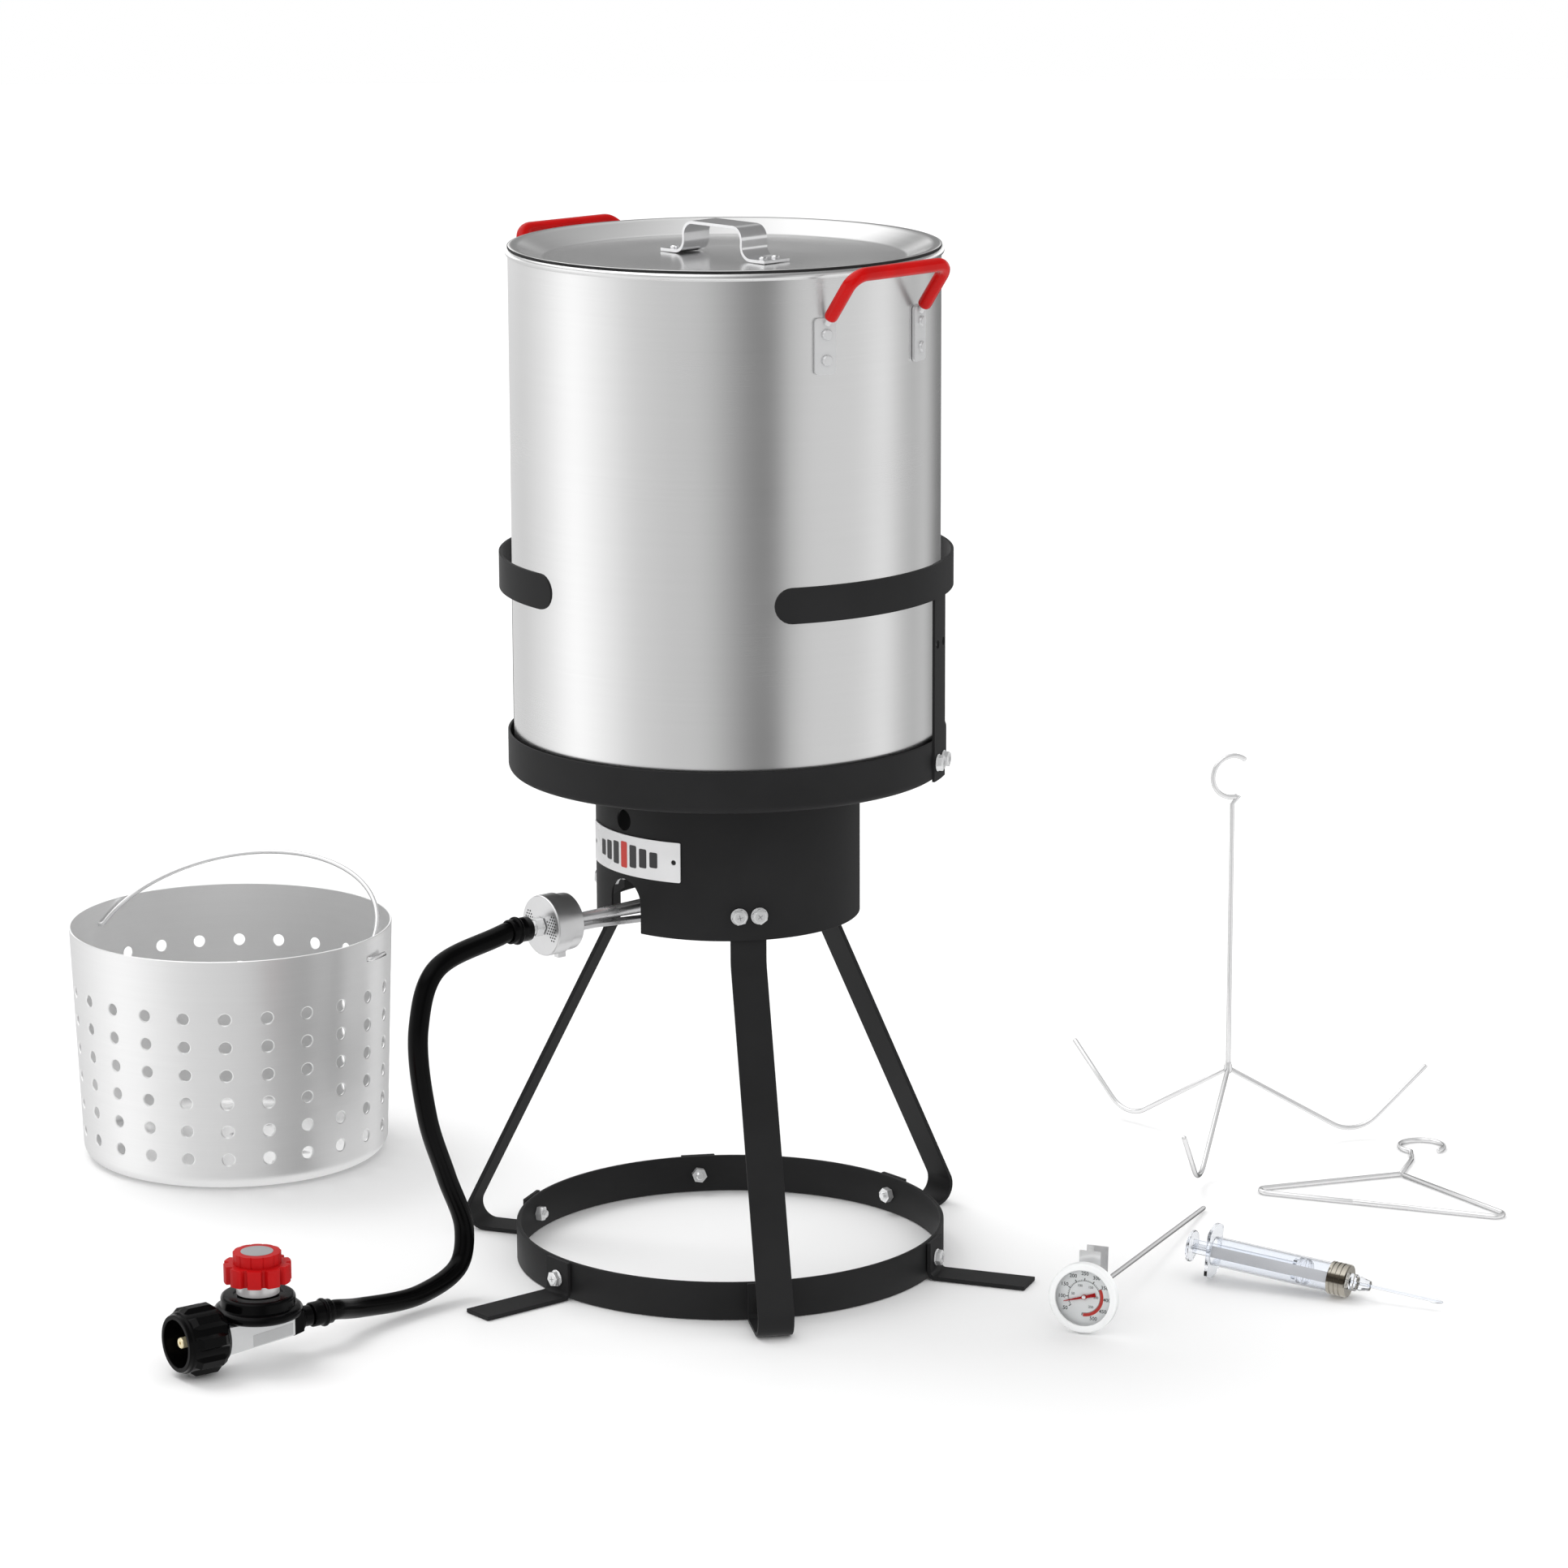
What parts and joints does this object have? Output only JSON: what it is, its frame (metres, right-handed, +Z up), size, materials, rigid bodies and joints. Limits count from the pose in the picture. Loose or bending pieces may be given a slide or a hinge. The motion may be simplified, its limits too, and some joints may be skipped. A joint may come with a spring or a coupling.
{
  "type": "outdoor turkey fryer kit",
  "caption": "Gas burner stand with a lidded stock pot in its guard hoop, hose and regulator, perforated basket, poultry rack, lifting hook, dial thermometer and injector.",
  "frame": {"origin": "middle of the kit's footprint, on the floor", "axes": "+Z up, +X to the right and -Y to the front when the name plate side of the stand faces the viewer at the left of centre"},
  "size_m": [1.1166, 0.7044, 0.7692],
  "materials": {
    "black_paint": "satin black paint",
    "cast_iron": "raw casting",
    "aluminium": "polished",
    "zinc_steel": "zinc plated",
    "bright_wire": "bright plated wire",
    "brass": "machined",
    "rubber": "satin",
    "black_plastic": "gloss",
    "red_plastic": "satin",
    "red_vinyl": "satin vinyl",
    "white_dial": "matt white",
    "clear_glass": "clear",
    "clear_plastic": "clear plastic"
  },
  "bodies": {
    "stand": {"burner_shroud": "black_paint", "leg_front": "black_paint", "leg_back": "black_paint", "leg_left": "black_paint", "foot_front": "black_paint", "foot_right": "black_paint", "foot_back": "black_paint", "base_ring": "black_paint", "guard_upright_left": "black_paint", "guard_upright_right": "black_paint", "guard_hoop": "black_paint", "name_plate": "zinc_steel", "leg_bolts_front": "zinc_steel", "leg_bolts_back": "zinc_steel", "leg_bolts_left": "zinc_steel", "guard_bolts_left": "zinc_steel", "guard_bolts_right": "zinc_steel", "base_bolt_1": "zinc_steel", "base_bolt_2": "zinc_steel", "base_bolt_3": "zinc_steel", "base_bolt_4": "zinc_steel", "base_bolt_5": "zinc_steel", "base_bolt_6": "zinc_steel", "venturi_tube": "zinc_steel", "mixer_cup": "zinc_steel", "orifice_fitting": "zinc_steel", "regulator_collar": "zinc_steel", "burner_spider": "cast_iron", "burner_head": "cast_iron", "gas_hose": "rubber", "hose_ferrule_tank": "rubber", "hose_ferrule_burner": "rubber", "regulator_body": "aluminium", "regulator_bonnet": "black_plastic", "tank_nipple": "brass"},
    "shutter": {"air_shutter": "zinc_steel"},
    "knob": {"regulator_knob": "red_plastic", "knob_disc": "aluminium"},
    "nut": {"tank_nut": "black_plastic"},
    "pot": {"pot": "aluminium", "pot_handle_right": "zinc_steel", "pot_handle_left": "zinc_steel", "pot_grip_right": "red_vinyl", "pot_grip_left": "red_vinyl"},
    "lid": {"lid": "aluminium", "lid_handle": "aluminium"},
    "basket": {"basket": "aluminium"},
    "bail": {"basket_bail": "bright_wire"},
    "rack": {"poultry_rack": "bright_wire"},
    "lifter": {"rack_lifter": "bright_wire"},
    "thermometer": {"thermometer_case": "zinc_steel", "thermometer_dial": "white_dial", "thermometer_lens": "clear_glass"},
    "pointer": {"thermometer_pointer": "red_plastic"},
    "clip": {"thermometer_clip": "zinc_steel"},
    "injector": {"injector_barrel": "clear_plastic", "injector_cap": "zinc_steel", "injector_nozzle": "clear_plastic"},
    "plunger": {"injector_plunger": "clear_plastic", "injector_seal": "rubber"}
  },
  "joints": [
    {"name": "shutter_turn", "type": "hinge", "parent": "stand", "child": "shutter", "pos_m": [-0.0368, -0.05329, 0.2795], "axis": [-0.7716, -0.6361, 0], "range_deg": [-45, 45]},
    {"name": "knob_turn", "type": "hinge", "parent": "stand", "child": "knob", "pos_m": [-0.3648, -0.29569, 0.06], "axis": [0, 0, 1], "range_deg": [0, 1080]},
    {"name": "tank_nut_turn", "type": "hinge", "parent": "stand", "child": "nut", "pos_m": [-0.3648, -0.29569, 0.025], "axis": [0.8131, 0.5821, 0], "continuous": true},
    {"name": "pot_lift", "type": "slide", "parent": "stand", "child": "pot", "axis": [0, 0, 1], "range_m": [0, 0.25]},
    {"name": "lid_lift", "type": "slide", "parent": "pot", "child": "lid", "axis": [0, 0, 1], "range_m": [0, 0.15]},
    {"name": "basket_lift", "type": "slide", "parent": "stand", "child": "basket", "axis": [0, 0, 1], "range_m": [0, 0.25]},
    {"name": "bail_swing", "type": "hinge", "parent": "basket", "child": "bail", "pos_m": [-0.4318, 0.22571, 0.1685], "axis": [0.891, -0.454, 0], "range_deg": [-16, 140]},
    {"name": "rack_lift", "type": "slide", "parent": "stand", "child": "rack", "axis": [0, 0, 1], "range_m": [0, 0.35]},
    {"name": "lifter_lift", "type": "slide", "parent": "stand", "child": "lifter", "axis": [0, 0, 1], "range_m": [0, 0.1]},
    {"name": "thermometer_lift", "type": "slide", "parent": "stand", "child": "thermometer", "axis": [0, 0, 1], "range_m": [0, 0.1]},
    {"name": "pointer_turn", "type": "hinge", "parent": "thermometer", "child": "pointer", "pos_m": [0.2157, -0.24109, 0.0258], "axis": [-0.3506, -0.9334, 0.0765], "range_deg": [-292, 18]},
    {"name": "clip_slide", "type": "slide", "parent": "thermometer", "child": "clip", "axis": [-0.3506, -0.9334, 0.0765], "range_m": [-0.24, 0.005]},
    {"name": "injector_lift", "type": "slide", "parent": "stand", "child": "injector", "axis": [0, 0, 1], "range_m": [0, 0.1]},
    {"name": "plunger_slide", "type": "slide", "parent": "injector", "child": "plunger", "axis": [0.8978, -0.4319, -0.0856], "range_m": [-0.028, 0.014]}
  ]
}
